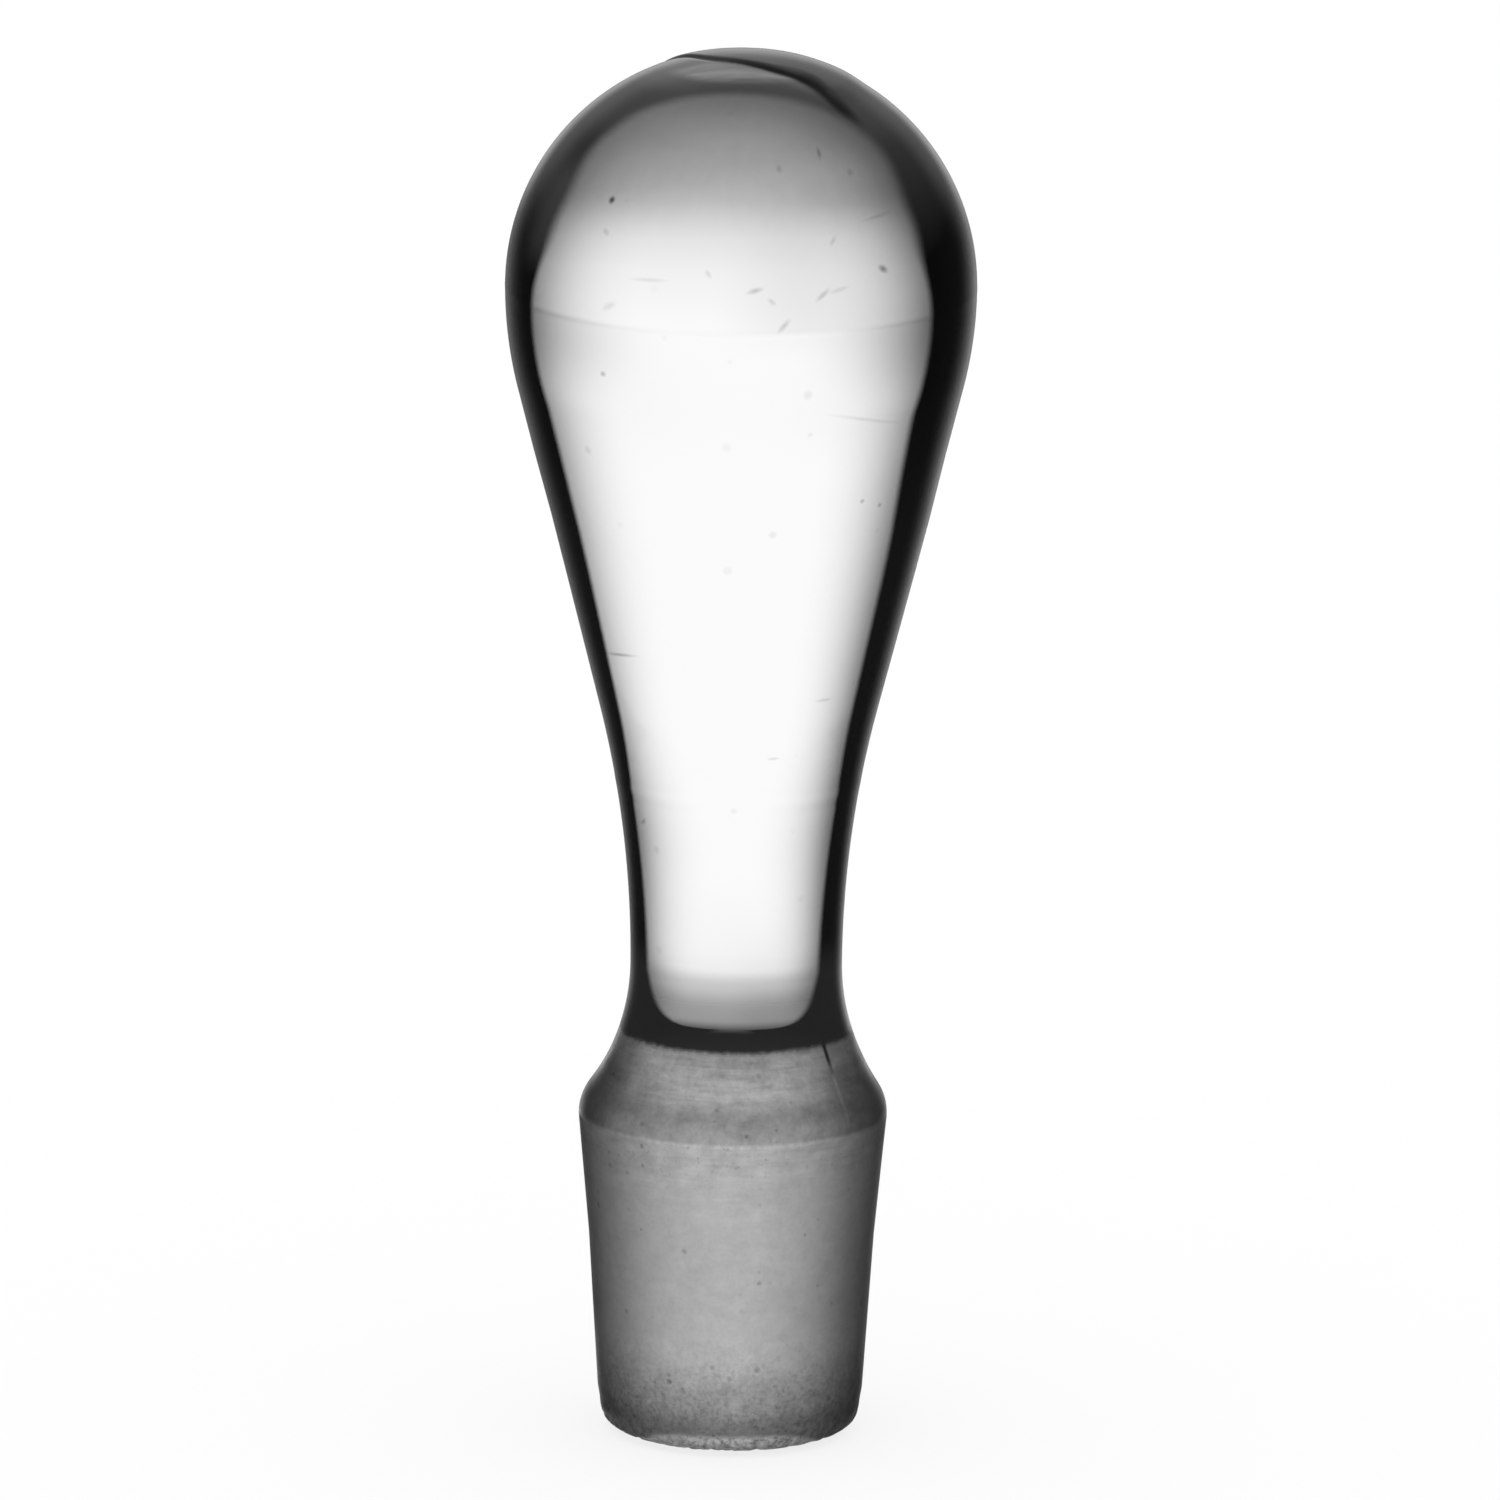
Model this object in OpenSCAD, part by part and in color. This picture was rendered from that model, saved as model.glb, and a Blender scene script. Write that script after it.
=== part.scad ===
// Solid pressed-glass stopper: a tall drop-shaped handle, a slim neck, a flared
// shoulder and a ground cone that seals the neck of a laboratory bottle.
// Everything is one solid of glass, turned about the vertical axis. The stopper
// stands on the flat end of its cone: the origin is the middle of that face and
// +Z runs up through the handle. -Y is the front.

/* [Ground cone] */
// Diameter at the shoulder, the widest place of the ground cone
shoulder_d = 19; // [18:0.1:20.5]
// Height of the shoulder above the base
shoulder_z = 19.75; // [18.5:0.25:21]
// Diameter where the steeper upper part of the cone meets the lower part
cone_mid_d = 17.6; // [17.2:0.1:17.9]
// Height of that change of taper above the base
cone_mid_z = 12.25; // [9:0.25:14]
// Diameter at the small end, just above the rounded edge
cone_end_d = 16.24; // [15:0.02:17]
// Radius of the rough rounded edge around the base
base_edge_r = 1.5; // [0.5:0.1:3]

/* [Shoulder and neck] */
// Radius of the convex rounding on top of the shoulder
shoulder_round_r = 3.05; // [2:0.05:4]
// Diameter of the neck at its narrowest
neck_d = 13.02; // [12:0.02:14]
// Height of the narrowest place of the neck above the base
neck_z = 29.35; // [28.5:0.05:31]
// Radius of the long hollow curve from the neck up into the handle
neck_hollow_r = 66; // [50:1:80]

/* [Handle] */
// Greatest diameter of the drop-shaped handle
handle_d = 28.8; // [26:0.1:31]
// Height of that greatest diameter above the base
equator_z = 71.85; // [68:0.05:76]
// Radius of the full curve just below the greatest diameter
belly_r = 25.5; // [22:0.1:30]

/* [Marks left by pressing] */
// Height of the seam ring above the surface of the handle
seam_proud = 0.04; // [0.02:0.01:0.2]
// Radius of the rounded back of the seam ring
seam_back_r = 0.2; // [0.15:0.05:0.5]
// Depth of the shear mark over the crown
shear_depth = 0.22; // [0.1:0.02:0.4]
// Radius of the rounded bottom of the shear mark
shear_r = 0.45; // [0.42:0.01:0.8]
// Distance of the plane of the shear mark from the centre of the crown
shear_offset = 4.65; // [3:0.05:7]
// Half the angle over which the shear mark runs before it fades out
shear_reach = 36; // [25:1:50]
// Compass direction towards which the plane of the shear mark faces
shear_turn = 48; // [0:1:90]
// Tilt of the plane of the shear mark from lying flat
shear_tilt = 64.5; // [55:0.5:75]
// Turn within that plane to the place where the shear mark is deepest
shear_swing = 12.5; // [-20:0.5:30]

/* [Hidden] */
$fn = 72;

// Neighbouring curves lap by this much, so that they cross at a point instead
// of only touching.
lap = 0.002;
// Length by which each piece runs on inside the one below or above it
run_on = 1;

shoulder_rad = shoulder_d / 2;
neck_rad = neck_d / 2;
handle_rad = handle_d / 2;
cone_end_rad = cone_end_d / 2;

// The flare is the hollow curve that leaves the neck upright and runs smoothly
// into the rounding of the shoulder; its radius follows from the two.
flare_rise = neck_z - shoulder_z;
flare_reach = shoulder_rad - neck_rad;
flare_turn = 2 * atan(flare_reach / flare_rise);
flare_r = flare_rise / sin(flare_turn) - shoulder_round_r + lap;
flare_low_z = neck_z - flare_r * sin(flare_turn);

// The flank of the handle is the straight line that touches the belly on one
// side and the long hollow of the neck on the other.
belly_x = handle_rad - belly_r;
hollow_x = neck_rad + neck_hollow_r;
centre_gap = norm([hollow_x - belly_x, neck_z - equator_z]);
centre_slope = atan2(neck_z - equator_z, hollow_x - belly_x);
flank_turn = acos((belly_r + neck_hollow_r - 2 * lap) / centre_gap) + centre_slope;
flank_top = [
    belly_x + (belly_r - lap) * cos(flank_turn),
    equator_z + (belly_r - lap) * sin(flank_turn)
];
flank_foot = [
    hollow_x - (neck_hollow_r - lap) * cos(flank_turn),
    neck_z - (neck_hollow_r - lap) * sin(flank_turn)
];
flank_run = [-sin(flank_turn), cos(flank_turn)] * run_on;

// The ring that cuts the shear mark is wider than the circle it cuts along and
// is shifted sideways, so the mark fades out at both ends.
shear_circle_r = sqrt(pow(handle_rad, 2) - pow(shear_offset, 2));
shear_shift = shear_depth / (1 - cos(shear_reach));
shear_ring_r = shear_circle_r + shear_r - shear_depth + shear_shift;

// Flat region between the axis and radius r, from height z0 up to height z1.
module band(r, z0, z1) {
    polygon([[0, z0], [r, z0], [r, z1], [0, z1]]);
}

// Half of the cone's outline: rounded lower edge, then two straight tapers.
module cone_outline() {
    band(cone_end_rad - base_edge_r, 0, base_edge_r);
    intersection() {
        translate([cone_end_rad - base_edge_r, base_edge_r])
            circle(r = base_edge_r);
        band(cone_end_rad, 0, base_edge_r);
    }
    polygon([
        [0, base_edge_r],
        [cone_end_rad, base_edge_r],
        [cone_mid_d / 2, cone_mid_z],
        [shoulder_rad, shoulder_z],
        [0, shoulder_z]
    ]);
}

// Half of the outline from the shoulder to the foot of the straight flank.
module neck_outline() {
    band(shoulder_rad - shoulder_round_r, shoulder_z, flare_low_z);
    intersection() {
        translate([shoulder_rad - shoulder_round_r, shoulder_z])
            circle(r = shoulder_round_r);
        band(shoulder_rad, shoulder_z, neck_z);
    }
    difference() {
        band(shoulder_rad, flare_low_z, neck_z);
        translate([neck_rad + flare_r, neck_z])
            circle(r = flare_r);
    }
    difference() {
        band(handle_rad, neck_z, flank_foot[1]);
        translate([hollow_x, neck_z])
            circle(r = neck_hollow_r);
    }
}

// Half of the handle's outline up to its greatest diameter: flank and belly.
module handle_outline() {
    polygon([
        [0, flank_foot[1] - flank_run[1]],
        flank_foot - flank_run,
        flank_top,
        [0, flank_top[1]]
    ]);
    intersection() {
        translate([belly_x, equator_z])
            circle(r = belly_r);
        band(handle_rad, flank_top[1] - run_on, equator_z);
    }
}

// Fine raised line around the handle where the halves of the mould met.
module seam() {
    translate([0, 0, equator_z])
        rotate_extrude()
            translate([handle_rad + seam_proud - seam_back_r, 0])
                circle(r = seam_back_r, $fn = 16);
}

// Round crown with the curved shear mark where the hot glass was cut off. The
// mark is cut by a ring that dips into the glass in the middle of its run.
module crown() {
    intersection() {
        translate([0, 0, equator_z])
            rotate([0, 0, shear_turn])
                rotate([0, shear_tilt, 0])
                    rotate([0, 0, shear_swing])
                        difference() {
                            sphere(r = handle_rad);
                            translate([shear_shift, 0, shear_offset])
                                rotate_extrude()
                                    translate([shear_ring_r, 0])
                                        circle(r = shear_r, $fn = 16);
                        }
        translate([-handle_d, -handle_d, equator_z])
            cube([2 * handle_d, 2 * handle_d, handle_d]);
    }
}

module stopper() {
    color([0.86, 0.93, 0.91])
        union() {
            rotate_extrude() {
                cone_outline();
                neck_outline();
                handle_outline();
            }
            crown();
            seam();
        }
}

stopper();
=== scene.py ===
import math
import bpy
from mathutils import Matrix, Vector


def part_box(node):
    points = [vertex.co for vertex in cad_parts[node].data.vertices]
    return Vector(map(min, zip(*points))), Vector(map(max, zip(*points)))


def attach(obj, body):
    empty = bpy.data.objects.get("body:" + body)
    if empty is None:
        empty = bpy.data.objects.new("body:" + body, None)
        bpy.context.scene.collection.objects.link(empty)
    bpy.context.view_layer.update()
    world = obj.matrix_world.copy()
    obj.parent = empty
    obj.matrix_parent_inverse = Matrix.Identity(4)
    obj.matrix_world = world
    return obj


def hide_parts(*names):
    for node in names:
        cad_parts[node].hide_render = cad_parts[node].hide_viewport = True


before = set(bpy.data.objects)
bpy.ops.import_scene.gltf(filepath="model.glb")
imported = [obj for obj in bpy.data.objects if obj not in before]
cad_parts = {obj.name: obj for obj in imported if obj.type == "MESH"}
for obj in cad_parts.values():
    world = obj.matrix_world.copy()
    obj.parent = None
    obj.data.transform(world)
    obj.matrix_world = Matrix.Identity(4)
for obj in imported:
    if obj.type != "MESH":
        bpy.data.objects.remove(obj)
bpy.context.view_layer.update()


# ---------------------------------------------------------------------------
# The stopper. One piece of clear pressed glass, solid all through: a drop-
# shaped handle, a slim neck, a flare and a ground cone. It is pressed in a
# mould, fire-polished, and then ground below the neck to fit its bottle.

body_low, body_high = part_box("stopper")
mm = (body_high.z - body_low.z) / 86.25

crown_radius = 14.4
equator_height = 71.85
belly_radius = 25.5
hollow_radius = 66
neck_radius = 6.51
neck_height = 29.35
shoulder_round = 3.05
shoulder_radius = 9.5
shoulder_height = 19.75
taper_change_radius = 8.8
taper_change_height = 12.25
cone_end_radius = 8.12
lower_edge_round = 1.5


def arc(centre_x, centre_z, radius, start, end, steps):
    """Points along an arc, without its first point, angles in radians."""
    return [
        (centre_x + radius * math.cos(a), centre_z + radius * math.sin(a))
        for a in (start + (end - start) * i / steps for i in range(1, steps + 1))
    ]


def straight(start, end, steps):
    """Points along a straight line, without its first point."""
    return [
        (
            start[0] + (end[0] - start[0]) * i / steps,
            start[1] + (end[1] - start[1]) * i / steps,
        )
        for i in range(1, steps + 1)
    ]


# The outline runs from the middle of the base up to the crown, along arcs that
# touch each other and the straight tapers between them. Its points lie close
# together at the worn lower edge, at the two raised rings and over the crown.
half_turn = math.pi
flare_rise = neck_height - shoulder_height
flare_turn = 2 * math.atan((shoulder_radius - neck_radius) / flare_rise)
flare_radius = flare_rise / math.sin(flare_turn) - shoulder_round
belly_x = crown_radius - belly_radius
hollow_x = neck_radius + hollow_radius
centre_gap = math.hypot(hollow_x - belly_x, neck_height - equator_height)
centre_slope = math.atan2(neck_height - equator_height, hollow_x - belly_x)
flank_turn = math.acos((belly_radius + hollow_radius) / centre_gap) + centre_slope
flank_top = (
    belly_x + belly_radius * math.cos(flank_turn),
    equator_height + belly_radius * math.sin(flank_turn),
)
ring_height = 40.9
ring_reach = 0.7
seam_reach = 0.4


def hollow_angle(height):
    """Angle on the long hollow of the neck at which it has this height."""
    return half_turn - math.asin((height - neck_height) / hollow_radius)


outline = [(0.0, 0.0)]
outline += straight(outline[-1], (cone_end_radius - lower_edge_round - 1, 0), 3)
outline += straight(outline[-1], (cone_end_radius - lower_edge_round, 0), 5)
outline += arc(
    cone_end_radius - lower_edge_round, lower_edge_round, lower_edge_round,
    -half_turn / 2, 0, 16,
)
outline += straight(outline[-1], (cone_end_radius + 0.1, lower_edge_round + 1.6), 8)
outline += straight(outline[-1], (taper_change_radius, taper_change_height), 4)
outline += straight(outline[-1], (shoulder_radius, shoulder_height), 4)
outline += arc(
    shoulder_radius - shoulder_round, shoulder_height, shoulder_round,
    0, flare_turn, 8,
)
outline += arc(
    neck_radius + flare_radius, neck_height, flare_radius,
    half_turn + flare_turn, half_turn, 22,
)
outline += arc(
    hollow_x, neck_height, hollow_radius,
    half_turn, hollow_angle(ring_height - ring_reach), 14,
)
outline += arc(
    hollow_x, neck_height, hollow_radius,
    hollow_angle(ring_height - ring_reach), hollow_angle(ring_height + ring_reach), 12,
)
outline += arc(
    hollow_x, neck_height, hollow_radius,
    hollow_angle(ring_height + ring_reach), half_turn + flank_turn, 6,
)
outline += straight(outline[-1], flank_top, 5)
outline += arc(
    belly_x, equator_height, belly_radius, flank_turn, -seam_reach / belly_radius, 12
)
outline += arc(
    belly_x, equator_height, belly_radius, -seam_reach / belly_radius, 0, 5
)
outline += arc(0, equator_height, crown_radius, 0, seam_reach / crown_radius, 5)
outline += arc(
    0, equator_height, crown_radius, seam_reach / crown_radius, half_turn / 4, 20
)
outline += arc(0, equator_height, crown_radius, half_turn / 4, half_turn / 2, 105)

outline_data = bpy.data.curves.new("outline", "CURVE")
outline_data.dimensions = "3D"
outline_path = outline_data.splines.new("POLY")
outline_path.points.add(len(outline) - 1)
for point, (x, z) in zip(outline_path.points, outline):
    point.co = (max(x, 0) * mm, 0, z * mm, 1)
outline_curve = bpy.data.objects.new("outline", outline_data)
bpy.context.scene.collection.objects.link(outline_curve)


class Tree:
    """A node tree in which sums are written as they read."""

    def __init__(self, tree):
        self.tree = tree

    def make(self, kind, *inputs, out=0, named={}, stops=(), **settings):
        """A new node. Its settings and ramp stops come first, then its inputs, in
        order or by name. The result is one of its outputs."""
        node = self.tree.nodes.new(kind)
        for key, value in settings.items():
            setattr(node, key, value)
        if stops:
            ramp = node.color_ramp.elements
            while len(ramp) < len(stops):
                ramp.new(0.5)
            for stop, (position, level) in zip(ramp, stops):
                stop.position = position
                stop.color = (level, level, level, 1)
        for key, value in [*enumerate(inputs), *named.items()]:
            if isinstance(value, Wire):
                self.tree.links.new(value.socket, node.inputs[key])
            elif value is not None:
                node.inputs[key].default_value = value
        return None if out is None else Wire(self, node.outputs[out])


class Wire:
    """One output of a node, with arithmetic."""

    def __init__(self, tree, socket):
        self.tree = tree
        self.socket = socket

    def out(self, name):
        """Another output of the same node."""
        return Wire(self.tree, self.socket.node.outputs[name])

    def math(self, operation, *inputs):
        return self.tree.make("ShaderNodeMath", *inputs, operation=operation)

    def __add__(self, other):
        return self.math("ADD", self, other)

    def __radd__(self, other):
        return self.math("ADD", other, self)

    def __sub__(self, other):
        return self.math("SUBTRACT", self, other)

    def __rsub__(self, other):
        return self.math("SUBTRACT", other, self)

    def __mul__(self, other):
        return self.math("MULTIPLY", self, other)

    def __rmul__(self, other):
        return self.math("MULTIPLY", other, self)

    def __truediv__(self, other):
        return self.math("DIVIDE", self, other)

    def __pow__(self, other):
        return self.math("POWER", self, other)

    def __neg__(self):
        return self.math("MULTIPLY", self, -1)

    def __abs__(self):
        return self.math("ABSOLUTE", self)

    def bigger(self, other):
        return self.math("MAXIMUM", self, other)

    def smaller(self, other):
        return self.math("MINIMUM", self, other)

    def over(self, start, end):
        """Rises smoothly from 0 at start to 1 at end; end may be the lower."""
        low, high = min(start, end), max(start, end)
        rise = self.tree.make(
            "ShaderNodeMapRange", self, low, high, interpolation_type="SMOOTHSTEP"
        )
        return 1 - rise if end < start else rise

    def parts(self):
        """The three numbers of a vector."""
        split = self.tree.make("ShaderNodeSeparateXYZ", self)
        return split.out("X"), split.out("Y"), split.out("Z")


# The shear mark is the fold left where the hot glass was cut off. It follows a
# tilted plane over the crown, with a kink on the way, and fades at both ends.
shear_turn = math.radians(48)
shear_tilt = math.radians(64.5)
shear_swing = math.radians(12.5)
shear_offset = 4.65
shear_frame = Matrix.Rotation(shear_turn, 3, "Z") @ Matrix.Rotation(shear_tilt, 3, "Y")
shear_facing = shear_frame @ Vector((0, 0, 1))
shear_run = shear_frame @ Vector((math.sin(shear_swing), -math.cos(shear_swing), 0))


def shear_mark(x, y, height):
    """Distance past the fold in mm, its strength there and its wider left part."""
    up = height - equator_height
    past = x * shear_facing.x + y * shear_facing.y + up * shear_facing.z - shear_offset
    kink = (
        x.over(-0.3, 4.3) * 1.05
        - x.over(4, 5.8) * 0.5
        - x.over(0.8, 2.2) * x.over(5, 4) * 0.13
        - x.over(0.4, -2) * 0.42
        + x.over(-2.2, -4.4) * 0.7
    )
    run = x * shear_run.x + y * shear_run.y + up * shear_run.z
    strength = run.over(7.5, 5.4) * run.over(-10, -7.6) * height.over(80, 81.5)
    return past - kink, strength, run.over(6.2, 2)


def turned_body():
    """Geometry nodes: a grid bent round the axis along the outline curve."""
    group = bpy.data.node_groups.new("turned body", "GeometryNodeTree")
    face = group.interface
    face.new_socket("Outline", in_out="INPUT", socket_type="NodeSocketObject")
    face.new_socket("Around", in_out="INPUT", socket_type="NodeSocketInt")
    face.new_socket("Neck offset", in_out="INPUT", socket_type="NodeSocketFloat")
    face.new_socket("Seam height", in_out="INPUT", socket_type="NodeSocketFloat")
    face.new_socket("Ring height", in_out="INPUT", socket_type="NodeSocketFloat")
    face.new_socket("Fold height", in_out="INPUT", socket_type="NodeSocketFloat")
    face.new_socket("Chip depth", in_out="INPUT", socket_type="NodeSocketFloat")
    face.new_socket("Finish", in_out="INPUT", socket_type="NodeSocketMaterial")
    face.new_socket("Body", in_out="OUTPUT", socket_type="NodeSocketGeometry")
    tree = Tree(group)
    given = tree.make("NodeGroupInput", out="Outline")
    curve = tree.make("GeometryNodeObjectInfo", given, out="Geometry")
    count = tree.make(
        "GeometryNodeAttributeDomainSize", curve, out="Point Count", component="CURVE"
    )

    # A grid with one row for each point of the outline is bent round the axis.
    # The neck stands a little to one side of the axis, as it set in the mould.
    grid = tree.make("GeometryNodeMeshGrid", 1.0, 1.0, given.out("Around"), count)
    across, up, _ = tree.make("GeometryNodeInputPosition").parts()
    row = up.math("ROUND", (up + 0.5) * (count - 1))
    spot = tree.make("GeometryNodeInputPosition")
    radius, _, height = tree.make(
        "GeometryNodeSampleIndex", curve, data_type="FLOAT_VECTOR", domain="POINT",
        named={"Value": spot, "Index": row},
    ).parts()
    angle = across * (2 * math.pi)
    at = height / mm
    sideways = at.over(19, 24) * at.over(64, 56) * given.out("Neck offset") * mm
    bent = tree.make("GeometryNodeSetPosition", grid, named={
        "Position": tree.make(
            "ShaderNodeCombineXYZ",
            radius * angle.math("SINE", angle) + sideways,
            radius * -angle.math("COSINE", angle),
            height,
        ),
    })
    weld = 4e-7
    closed = tree.make("GeometryNodeMergeByDistance", bent, named={"Distance": weld})

    # The raised rings, the fold over the crown and the chips at the lower edge
    # move the surface along its normal, by a height in mm.
    place = tree.make("GeometryNodeInputPosition")
    x, y, z = (part / mm for part in place.parts())
    distance = (x * x + y * y) ** 0.5
    past, strength, broad = shear_mark(x, y, z)
    seam = abs(z - equator_height).over(seam_reach, 0) * given.out("Seam height")
    ring = abs(z - ring_height).over(ring_reach, 0) * given.out("Ring height")
    gentle = past / (1 + x.over(0, 4) * 1.5)
    flap = gentle.over(-0.1, 0.45) * distance.over(0.3, 4.6) * distance.over(8, 6.2)
    facet = past.over(0.05, -0.05) * ((4.6 - distance) / 2.8).bigger(0)
    groove = abs(gentle).over(0.5, 0) * (broad * 0.3 + 0.1)
    fold = (flap - facet * 0.5 - groove) * strength * given.out("Fold height")
    coarse = tree.make(
        "ShaderNodeTexNoise", place, out="Fac", noise_dimensions="3D",
        named={"Scale": 1.5 / mm, "Detail": 2.0, "Roughness": 0.5},
    )
    edge = z.over(1.7, 0.4) * distance.over(cone_end_radius - 2.1, cone_end_radius - 1.3)
    worn_away = z.over(2.6, 1.5) * z.over(0.5, 1.1) * distance.over(7.0, 7.6) * 0.75
    chips = (edge * coarse.over(0.43, 0.72) + worn_away) * given.out("Chip depth")
    lift = (seam + ring + fold - chips) * mm
    normal = tree.make("GeometryNodeInputNormal")
    shift = tree.make("ShaderNodeVectorMath", normal, operation="SCALE", named={"Scale": lift})
    marked = tree.make("GeometryNodeSetPosition", closed, named={"Offset": shift})

    smooth = tree.make("GeometryNodeSetShadeSmooth", marked)
    real = tree.make("GeometryNodeRealizeInstances", smooth)
    done = tree.make("GeometryNodeSetMaterial", real, named={"Material": given.out("Finish")})
    tree.make("NodeGroupOutput", done, out=None)
    return group


def plain_mesh(base, name):
    """The evaluated object as a plain mesh object, with no modifier left."""
    made = bpy.data.meshes.new_from_object(
        base.evaluated_get(bpy.context.evaluated_depsgraph_get())
    )
    made.name = name
    piece = bpy.data.objects.new(name, made)
    bpy.context.scene.collection.objects.link(piece)
    bpy.data.objects.remove(base)
    return piece


# The material. Above the ground edge the glass is clear; its rim gets painted shade
# where the glass turns edge-on, standing in for the dark rim of thick glass. Below the edge it is
# matt.
clear_edge_height = 25.2

glass = bpy.data.materials.new("pressed_glass")
glass.use_nodes = True
glass.node_tree.nodes.clear()
t = Tree(glass.node_tree)
place = t.make("ShaderNodeTexCoord", out="Object")
x, y, height = (part / mm for part in place.parts())
distance = (x * x + y * y) ** 0.5
normal_right, _, normal_up = t.make("ShaderNodeTexCoord", out="Normal").parts()
facing = t.make("ShaderNodeLayerWeight", 0.5, out="Facing")
outwards = t.make("ShaderNodeCombineXYZ", x / distance, y / distance, 0)
to_side = t.make("ShaderNodeLayerWeight", 0.5, outwards, out="Facing")
inside = t.make("ShaderNodeNewGeometry", out="Backfacing")
outside = 1 - inside


def noise(vector, size, detail=2.0, roughness=0.5):
    """Soft noise from about -1 to 1, with features of this size in mm."""
    wave = t.make(
        "ShaderNodeTexNoise", vector, out="Fac", noise_dimensions="3D",
        named={"Scale": 1 / (size * mm), "Detail": detail, "Roughness": roughness},
    )
    return (wave - 0.5) * 5


def stretched(sideways, upwards):
    """Object coordinates, squeezed so that a pattern turns into flat streaks."""
    return t.make("ShaderNodeMapping", place, named={"Scale": (sideways, sideways, upwards)})


ragged = height + noise(place, 0.5, 2.0) * 0.05 - to_side * 0.05
ground_outside = ragged.over(clear_edge_height + 0.3, clear_edge_height - 0.25)
ground = ground_outside * outside + height.over(27.6, 23.6) * inside
clear = 1 - ground

# The clear glass gets painted shade towards its rim, sooner on the right, over the crown
# and at the foot of the neck. Beyond the start of the rim the painted shade is nearly black.
crown = normal_up.over(0.25, 0.6)
bulge = normal_up.over(-0.22, -0.03) * height.over(50, 60)
neck = height.over(47, 37)
left_flank = normal_right.over(-0.3, -0.8) * height.over(64, 56) * height.over(26.5, 29)
dim_start = 0.18 - bulge * 0.13 - neck * 0.12 - normal_right * (0.062 - neck * 0.017)
dim_end = (
    0.65
    - bulge * 0.06
    - normal_up.over(0.05, 0.35) * 0.05
    - neck * 0.075
    - normal_right * (0.1 - neck * 0.04)
    + left_flank * 0.03
)
dim_most = 0.92 - normal_up.over(0.5, 0.85) * (0.37 - normal_right.over(0, 0.4) * 0.2)
rim_dimming = ((facing - dim_start) / (dim_end - dim_start)).over(0, 1) * dim_most
# Painted shade on the right half, painted light on the upper left rim, and painted shade below the
# seam and along it.
right_half = normal_right.over(-0.15, 0.3) * normal_up.over(-0.08, 0.06) * normal_up.over(0.65, 0.5)
upper_left = (
    normal_right.over(0.5, -0.3) * normal_up.over(0.1, 0.3) * normal_up.over(0.68, 0.5)
    * height.over(60, 66)
)
below_seam = height.over(71.95, 71.75) * height.over(62, 70)
seam_line = abs(height - 71.8).over(0.3, 0.05)
clear_look = (
    (1 - rim_dimming)
    * (1 - normal_up.over(0.4, 0.8) * facing.over(0, 0.15) * 0.23)
    * (1 - right_half * 0.13)
    * (1 - below_seam * facing.over(0.02, 0.3) * (0.07 + normal_right.over(0, 0.4) * 0.05))
    * (1 - seam_line * (0.02 + facing.over(0.1, 0.4) * 0.07))
    * (1 - height.over(30.5, 29.4) * 0.26 + height.over(29.2, 28) * 0.09)
    * (1 - height.over(32, 30) * facing.over(0.1, 0.4) * 0.12)
    * (1 - noise(stretched(1.0, 0.25), 0.9) * crown * 0.02)
)
# Where the painted dark rim begins, by slope, height and side.
rim_by_slope = (
    0.5
    - normal_up.over(-0.08, 0.3) * 0.08
    + normal_up.over(0.45, 0.7) * 0.055
    - normal_up.over(0.8, 0.9) * 0.03
    - normal_up.over(0.88, 0.94) * 0.04
    + normal_up.over(-0.02, -0.2) * 0.011
)
rim_by_foot = (
    ((height - 26.7) / 3).smaller(1).bigger(0) ** 0.36 * 0.427
    + ((height - 29.6) / 14.4).bigger(0) * 0.11
)
lopsided = 0.032 + height.over(54, 66) * 0.04 - height.over(72, 80) * 0.028
rim_start = (
    rim_by_slope.smaller(rim_by_foot)
    - normal_right * lopsided
    + left_flank * (0.017 + height.over(46, 38) * 0.013)
)
rim_width = 0.05 + normal_up.over(0.15, 0.35) * 0.04 + height.over(38, 31) * 0.03
rim_inwards = (facing - rim_start) / rim_width + 0.7
rim_share = rim_inwards.over(0, 1).bigger(height.over(27.3, 26.4))

# Along the shear mark the fold gets painted shade, a soft dark line which widens to
# the right, with a painted highlight on the rippled facet in front of it and a faint
# painted light on the brow above that.
past, strength, _ = shear_mark(x, y, height)
ripples = t.make("ShaderNodeMapping", place, named={"Scale": (0.2, 1.0, 0.5)})
# Painted highlight on the rippled facet in front of the fold.
facet = (
    past.over(0.15, -0.15) * strength
    * distance.over(5.3, 4.3)
    * facing.over(0.42, 0.52)
    * (1 - facing.over(0.58, 0.78) * 0.85)
    * (1 + noise(ripples, 0.8) * 0.45)
)
brow_painted_light = past.over(0.1, -0.2) * normal_up.over(0.87, 0.94) * facing.over(0.45, 0.6)
pooled = past / (1 + x.over(2.8, 4.6) * x.over(7.4, 5.6) * 0.7)
fold_painted_shade = (
    pooled.over(-0.42, 0.04) * pooled.over(0.85, 0.12) * strength
    * (0.6 + x.over(-2.5, 2.5) * 0.3 - x.over(3.5, 5) * 0.08)
)

# Painted light: the outermost edge is lightened a little, more on the right where the
# glass is clear, and more on the left where it is matt.
leaning = (
    0.2
    + height.over(46, 56) * 0.2
    - height.over(60, 66) * 0.1
    + height.over(38, 32) * 0.1
)
painted_edge_light = (
    ((facing - 0.58) / 0.32).bigger(0) ** 3 * 0.37
    * (1 + normal_right * (leaning * clear - ground * 0.35) * (1 - crown))
    * (1 + height.over(31, 27) * clear * 0.7)
)
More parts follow.
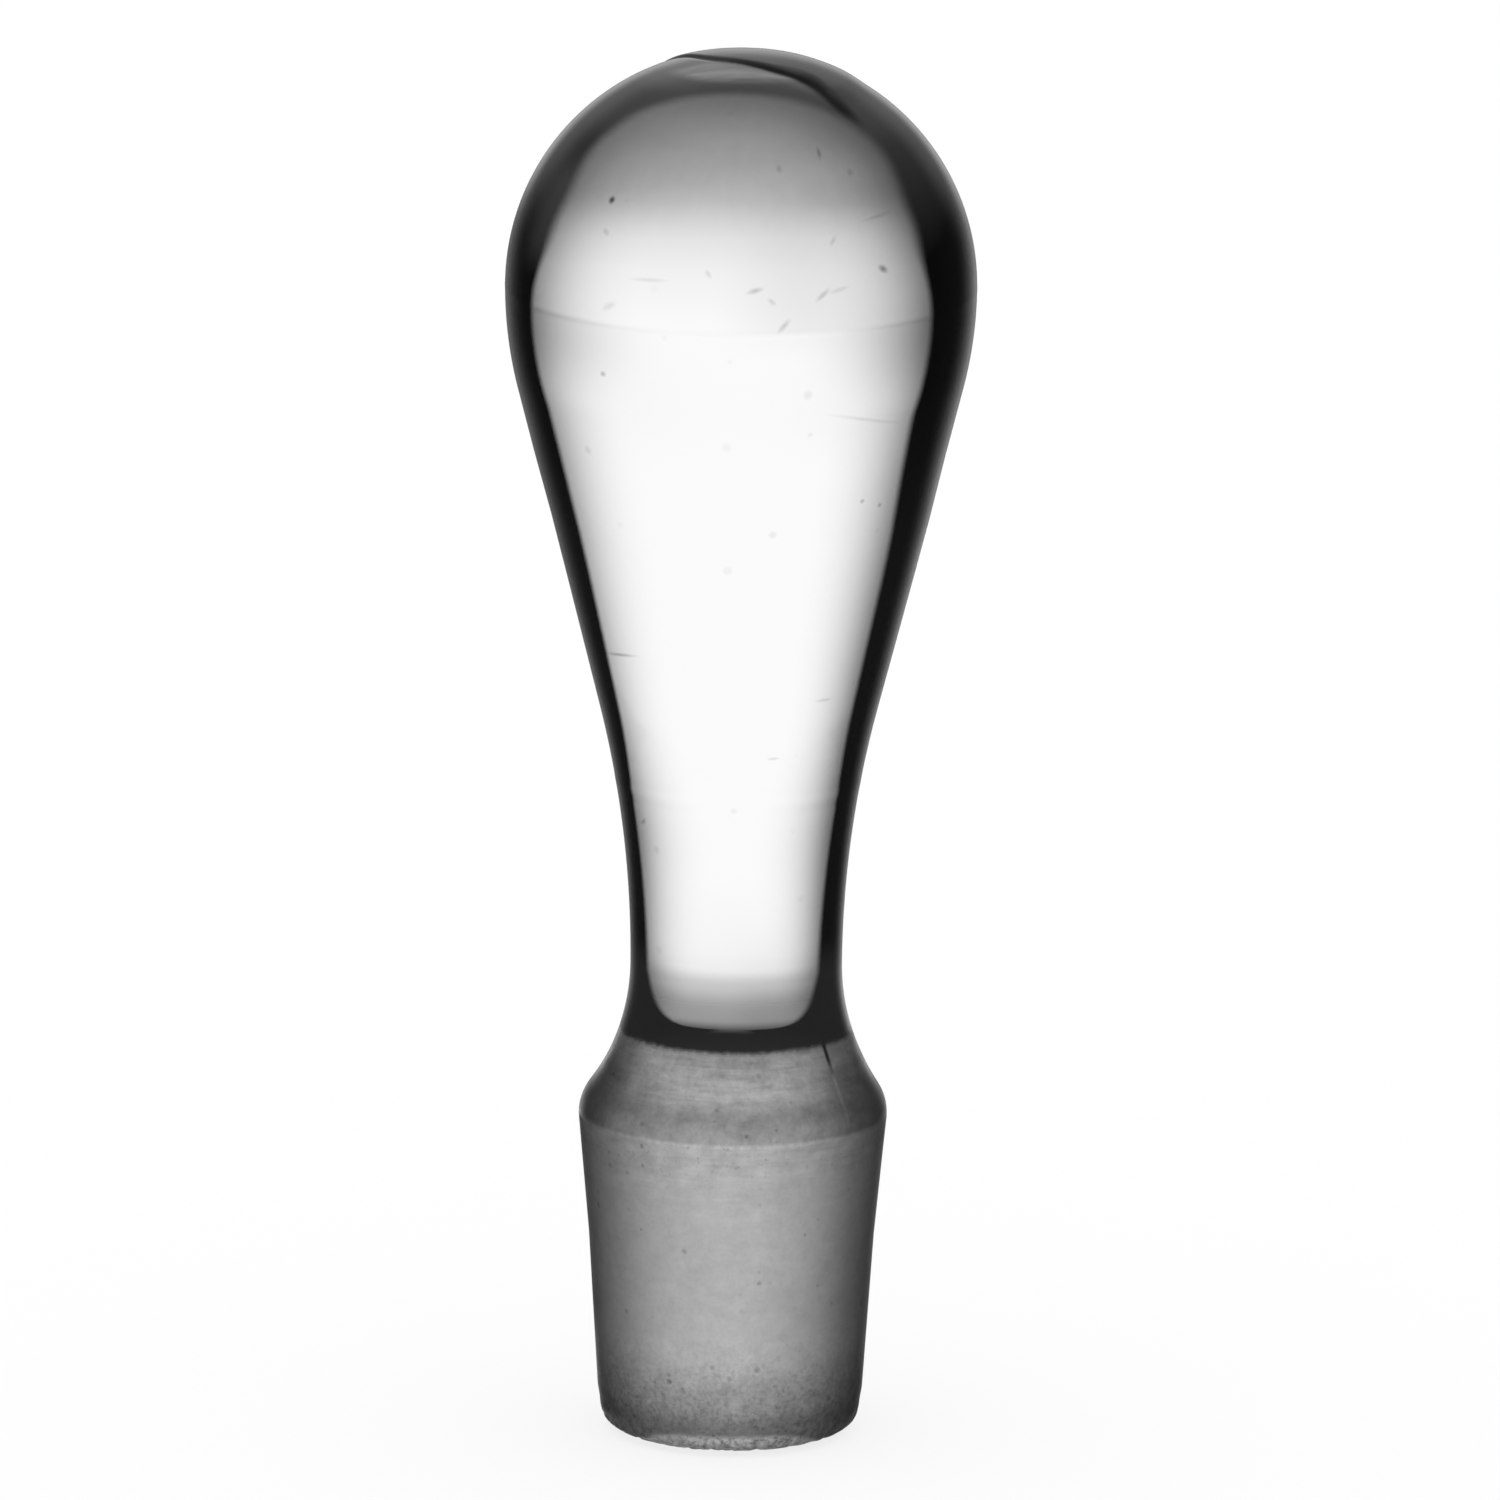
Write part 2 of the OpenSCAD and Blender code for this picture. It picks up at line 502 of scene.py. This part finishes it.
# The colour of the painted rim: painted shade, lightened at the edge, over the crown, on the upper
# left, on the facet and on the brow.
rim_shade = (
    0.001
    + painted_edge_light * (1 + crown * facing.over(0.72, 0.84))
    + crown * facing.over(0.54, 0.7) * 0.045
    + normal_up.over(0.66, 0.8) * 0.013
    + normal_up.over(0.86, 0.95) * 0.009
    + upper_left * facing.over(0.7, 0.5) * 0.026
    + height.over(66, 55) * 0.003
    + height.over(32, 29.5) * 0.012
    + brow_painted_light * 0.04
    + facet * 0.13
).smaller(0.9)

# Small marks of use: short scratches and specks, each given by its compass
# direction from the front, height, half length, half width, slope and strength.
use_marks = [
    (-39.0, 79.04, 0.3, 0.3, 0, 0.9),
    (26.7, 81.95, 0.2, 0.45, -10, 0.4),
    (11.7, 81.25, 0.24, 0.3, 0, 0.25),
    (35.2, 80.81, 0.3, 0.26, 30, 0.25),
    (37.7, 75.25, 0.48, 0.3, -30, 0.6),
    (-35.7, 68.69, 0.27, 0.24, 0, 0.4),
    (37.1, 60.62, 0.22, 0.2, 0, 0.4),
    (44.0, 60.15, 0.2, 0.2, 0, 0.4),
    (3.4, 74.45, 0.65, 0.22, 14, 0.32),
    (20.3, 74.08, 0.75, 0.22, 38, 0.28),
    (10.4, 72.3, 0.7, 0.24, 48, 0.26),
    (-23.2, 74.81, 1.5, 0.18, 2, 0.15),
    (34, 66.0, 3.6, 0.17, -12, 0.14),
    (-48.5, 50.1, 1.9, 0.16, 7, 0.42),
    (-37.8, 77.24, 0.4, 0.22, -30, 0.22),
    (24.3, 77.17, 0.45, 0.18, 50, 0.2),
    (-8.2, 75.4, 0.4, 0.2, -50, 0.18),
    (-33.7, 72.97, 0.7, 0.3, 30, 0.16),
    (7.5, 73.79, 0.4, 0.22, -40, 0.2),
    (24.6, 74.31, 0.9, 0.2, 12, 0.15),
    (39.6, 78.27, 1.6, 0.16, 8, 0.16),
    (35.5, 47.65, 0.8, 0.16, 0, 0.2),
    (16, 44.05, 0.5, 0.14, 0, 0.2),
    (-52, 39.2, 0.4, 0.2, 40, 0.4),
    (150, 76.5, 0.6, 0.2, 25, 0.35),
    (-160, 66.0, 0.3, 0.24, 0, 0.5),
    (110, 58.0, 0.9, 0.18, -20, 0.25),
    (-100, 80.0, 0.5, 0.2, 60, 0.35),
]


def outline_radius(at):
    """Radius of the outline in mm at a height above the base."""
    low, high = next(
        (a, b) for a, b in zip(outline, outline[1:]) if a[1] < at <= b[1]
    )
    return low[0] + (high[0] - low[0]) * (at - low[1]) / (high[1] - low[1])


# Faint smudges are scattered thinly over the handle.
smudge_cells = t.make(
    "ShaderNodeTexVoronoi", place, out="Distance", voronoi_dimensions="3D",
    named={"Scale": 0.45 / mm, "Randomness": 1.0},
)
smudge_pick, smudge_size, _ = smudge_cells.out("Color").parts()
smudges = (1 - (smudge_cells / (0.1 + smudge_size * 0.1)).over(0.2, 1)) * smudge_pick.over(0.4, 0.9)

# A crack runs down the flare: a dark line that turns pale lower down.
crack_direction = math.radians(50)
across_crack = x * math.cos(crack_direction) + y * math.sin(crack_direction)
crack_bend = (height - 23.4) * (height - 23.4) * 0.03 - 0.12
crack_line = abs(across_crack + crack_bend)
crack_dark = crack_line.over(0.26, 0.05) * height.over(23.2, 24.6) * height.over(25.6, 25.2)
crack_pale = crack_line.over(0.24, 0.04) * height.over(20.2, 21.2) * height.over(23.8, 23.0)

scratches = (crack_dark * 0.9).bigger(smudges * clear * 0.12)
mark_depth = 1.0
for compass, at, half_length, half_width, slope, mark_strength in use_marks:
    turn = math.radians(compass)
    far = outline_radius(at)
    local = t.make("ShaderNodeMapping", place, vector_type="TEXTURE", named={
        "Location": (far * math.sin(turn) * mm, -far * math.cos(turn) * mm, at * mm),
        "Rotation": (0, -math.radians(slope), turn),
        "Scale": (half_length * mm, mark_depth * mm, half_width * mm),
    })
    reach = t.make("ShaderNodeVectorMath", local, out="Value", operation="LENGTH")
    scratches = scratches.bigger(reach.over(1.1, 0) * mark_strength)

# Ground glass. Fine streaks from the grinding run round the flare and below
# the shoulder, and pits crowd together towards the worn lower edge, which is
# rough and paler where it faces the front.
flare = height.over(19.7, 20.3)
flare_top = height.over(22.8, 25)
streaked = height.over(21.4, 22.6) + height.over(20.2, 19.8) * height.over(14, 19.5) * 0.5
lower_part = height.over(8, 1.5)
streaks = noise(stretched(0.15, 1.0), 0.5, 3.0, 0.6)
lines = noise(stretched(0.08, 1.0), 0.22, 2.0, 0.6)
clouds = noise(place, 1.6, 2.0)
mottle = noise(place, 0.7, 3.0, 0.6)
grain = noise(place, 0.28, 2.0, 0.6)
edge_band = (height + mottle * 0.12 + grain * 0.1 + to_side.over(0.04, 0.5) * 1.2).over(1.4, 1.05)
rough = lower_part * (1 - edge_band * 0.4)
cells = t.make(
    "ShaderNodeTexVoronoi", place, out="Distance", voronoi_dimensions="3D",
    named={"Scale": 1.1 / mm, "Randomness": 1.0},
)
pick, pit_size, _ = cells.out("Color").parts()
pit_edge = 0.12 + pit_size * 0.18 + mottle * 0.03
pits = (1 - (cells / pit_edge).over(0.3, 1)) * pick.over(0.45, 0.9)
top_of_cone = height.over(16.6, 19) * height.over(20.2, 19.8)
specks = grain.over(0.45, 1.1) * (0.12 + lower_part + top_of_cone * 0.8)
grinding = (
    1
    + streaks * (0.024 + streaked * 0.14)
    + lines * streaked * 0.08
    + clouds * (0.04 + flare * 0.07 + top_of_cone * 0.04)
    + mottle * (0.05 + flare * (1 - streaked * 0.5) * 0.1 + rough * 0.15 + edge_band * 0.12)
    + mottle * top_of_cone * 0.05
    + grain * (0.042 + flare * 0.05 + rough * 0.25 + edge_band * 0.32)
    - pits * (0.3 + lower_part * 0.2)
    - specks * 0.3
    + crack_pale * 0.35
    # a pale line along the shoulder, strongest where it faces the front
    + abs(height - 19.98).over(0.22, 0.05) * facing.over(0.45, 0.1) * (0.07 + mottle * 0.07)
)
# The ground glass is darker towards the base.
darker_towards_base = (1 - height.over(7.0, 3.0) * 0.38) * (1 - height.over(3.2, 1.4) * 0.36)
# Painted shade: a darker band over the shoulder, darker towards the sides, on the right and at the
# front of the top of the flare.
shoulder_dip = 1 - height.over(19.9, 20.2) * height.over(22.8, 21.4) * 0.28 - top_of_cone * 0.04
flare_dip = (facing + normal_right * 0.08).over(0.12, 0.5) * (0.6 - height.over(22.4, 24.2) * 0.09)
cone_dip = facing.over(0.12, 0.5) * (0.29 + normal_right * 0.1)
matt_look = (
    grinding
    * shoulder_dip
    * (darker_towards_base * (1 - edge_band) + edge_band * 0.78)
    * (1 - flare_dip * flare - cone_dip * (1 - flare))
    * (1 - flare_top * facing.over(0.25, 0) * 0.12)
    * (1 - normal_right.over(0, 0.6) * (height.over(14, 9) * 0.05 + 0.11))
)
# The matt glass mixes in a dark shader of painted shade towards its sides; its colour gets painted
# light at the edge, more on the flare, and at the lower edge where it turns aside, and is paler
# over the rough band.
matt_share = (1 - (1 - facing) ** 1.55) * (1 - edge_band * 0.45) * (1 - flare_top * 0.4)
matt_shade = (
    0.025
    + painted_edge_light * (0.5 + normal_right * 0.35 + flare * 3 + lower_part * 0.7)
    + flare * facing.over(0.62, 0.9) * 0.07
    + height.over(1.8, 0.9) * to_side.over(0.1, 0.5) * 0.12
    + edge_band * 0.12
).smaller(0.9) * matt_look

# Where the surface is seen from outside, the look is the share of the light
# that comes through; a transmitting surface takes the root of its own colour.
glass_index = 1.5
matt_roughness = 0.55
relief_depth = 0.05
look = (clear_look * clear + matt_look * ground) * outside + inside
tint = look * look * (1 - ground * 0.42)
# share and shade are the painted rim: where, and in what colour, the dark shader of painted shade
# and light is mixed in.
share = (rim_share * clear + matt_share * ground) * outside
shade = rim_shade * clear + matt_shade * ground
relief = t.make("ShaderNodeBump", named={
    "Height": outside * ground * (1 + edge_band) * (mottle * 0.2 + grain * 0.12 - pits * 0.5),
    "Distance": relief_depth * mm,
    "Strength": 0.5,
})

body_glass = t.make("ShaderNodeBsdfPrincipled", named={
    "Base Color": t.make("ShaderNodeCombineColor", tint, tint, tint),
    "Roughness": ground * matt_roughness,
    "IOR": glass_index,
    "Transmission Weight": 1.0,
    "Normal": relief,
})
# The dark shader carries the painted rim shade and edge light.
dark = t.make("ShaderNodeBsdfPrincipled", named={
    "Base Color": t.make("ShaderNodeCombineColor", shade, shade, shade),
    "Roughness": ground * matt_roughness + 0.05,
    "IOR": glass_index,
    "Normal": relief,
})
# Scratches and the crack send hardly any light on; the same near-black is painted
# shade at the bottom of the fold of the shear mark.
dark_marks_and_fold_shade = t.make("ShaderNodeBsdfPrincipled", named={
    "Base Color": (0.006, 0.006, 0.006, 1),
    "Roughness": 0.9,
    "Specular IOR Level": 0.0,
})
mixed = t.make("ShaderNodeMixShader", share, body_glass, dark)
marked = t.make(
    "ShaderNodeMixShader", scratches.bigger(fold_painted_shade) * outside, mixed, dark_marks_and_fold_shade
)
t.make("ShaderNodeOutputMaterial", marked, out=None)

turning = turned_body()
blank = bpy.data.objects.new("blank", bpy.data.meshes.new("blank"))
bpy.context.scene.collection.objects.link(blank)
turning_modifier = blank.modifiers.new("turning", "NODES")
turning_modifier.node_group = turning
sizes = {
    "Outline": outline_curve,
    "Around": 390,
    "Neck offset": 0.125,
    "Seam height": 0.01,
    "Ring height": 0.01,
    "Fold height": 0.11,
    "Chip depth": 0.12,
    "Finish": glass,
}
for item in turning.interface.items_tree:
    if item.in_out == "INPUT":
        turning_modifier[item.identifier] = sizes[item.name]
body = plain_mesh(blank, "glass_body")
bpy.data.objects.remove(outline_curve)
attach(body, "root")
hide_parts("stopper")

# ---------------------------------------------------------------------------
# The studio: a plain pale floor and soft white light from all round. Seen
# through the glass, the bench below the horizon is a little darker.
floor_half = 2
floor_drop = 0.0002
floor_corners = [
    (i * floor_half, j * floor_half, 0) for i, j in ((-1, -1), (1, -1), (1, 1), (-1, 1))
]
floor_mesh = bpy.data.meshes.new("floor")
floor_mesh.from_pydata(floor_corners, [], [(0, 1, 2, 3)])
floor = bpy.data.objects.new("floor", floor_mesh)
bpy.context.scene.collection.objects.link(floor)
floor.visible_transmission = False
floor.visible_glossy = False
floor.location.z = -floor_drop
floor_finish = bpy.data.materials.new("pale_floor")
floor_finish.use_nodes = True
floor_finish.node_tree.nodes.clear()
t = Tree(floor_finish.node_tree)
white = (1, 1, 1, 1)
floor_glow = 0.78
seen = t.make("ShaderNodeLightPath", out="Is Camera Ray")
lit = t.make("ShaderNodeBsdfDiffuse", white)
glow = t.make("ShaderNodeEmission", white, 1.0)
pale = t.make("ShaderNodeMixShader", seen * floor_glow, lit, glow)
t.make("ShaderNodeOutputMaterial", pale, out=None)
floor_mesh.materials.append(floor_finish)

world = bpy.data.worlds.new("studio")
bpy.context.scene.world = world
world.use_nodes = True
world.node_tree.nodes.clear()
t = Tree(world.node_tree)
_, _, rise = t.make("ShaderNodeTexCoord", out="Generated").parts()
elevation = rise.math("ARCSINE", rise) * (180 / math.pi)


def by_elevation(levels):
    """A level that follows (degrees, level) stops from straight down to up."""
    return t.make(
        "ShaderNodeValToRGB", (elevation + 90) / 180, out="Color",
        stops=[((degrees + 90) / 180, level) for degrees, level in levels],
    )


seen_through = by_elevation([
    (-90, 1.0), (-75, 0.7), (-65, 0.35), (-57, 0.22), (-52, 0.25), (-43, 0.345),
    (-36, 0.405), (-30, 0.43), (-27, 0.49), (-21, 0.78), (-16, 0.91), (-8, 1.0), (90, 1.0),
])
mirrored = by_elevation([
    (-90, 0.6), (-60, 0.5), (-40, 0.1), (-25, 0.03), (5, 0.03), (48, 0.55), (90, 0.6),
])
through = t.make("ShaderNodeLightPath", out="Is Transmission Ray")
glossy = t.make("ShaderNodeLightPath", out="Is Glossy Ray")
level = 1 - (1 - seen_through) * through - (1 - mirrored) * glossy * (1 - through)
soft_light = t.make("ShaderNodeBackground", white, level)
t.make("ShaderNodeOutputWorld", soft_light, out=None)

# ---------------------------------------------------------------------------
# The camera: a long lens from the front, looking a little down. It leans by
# just over half a degree, and the stopper stands a little left of the middle.
camera_distance = 1.1
half_view = 0.046012
look_down = math.radians(13.3)
lean_angle = math.radians(0.59)
aim = Vector((0, 0, 0.043))
camera_data = bpy.data.cameras.new("camera")
camera = bpy.data.objects.new("camera", camera_data)
bpy.context.scene.collection.objects.link(camera)
bpy.context.scene.camera = camera
camera_data.sensor_width = 36
camera_data.angle = 2 * math.atan(half_view / camera_distance)
camera_data.shift_x = 0.009066667
camera_data.shift_y = -0.003066667
camera_data.clip_start = 0.01
camera_data.clip_end = 20
backwards = Vector((0, -math.cos(look_down), math.sin(look_down)))
camera.location = aim + camera_distance * backwards
facing_aim = (aim - camera.location).to_track_quat("-Z", "Y").to_matrix().to_4x4()
lean = Matrix.Rotation(lean_angle, 4, "Z")
camera.matrix_world = Matrix.Translation(camera.location) @ facing_aim @ lean

bpy.context.scene.view_settings.view_transform = "Standard"
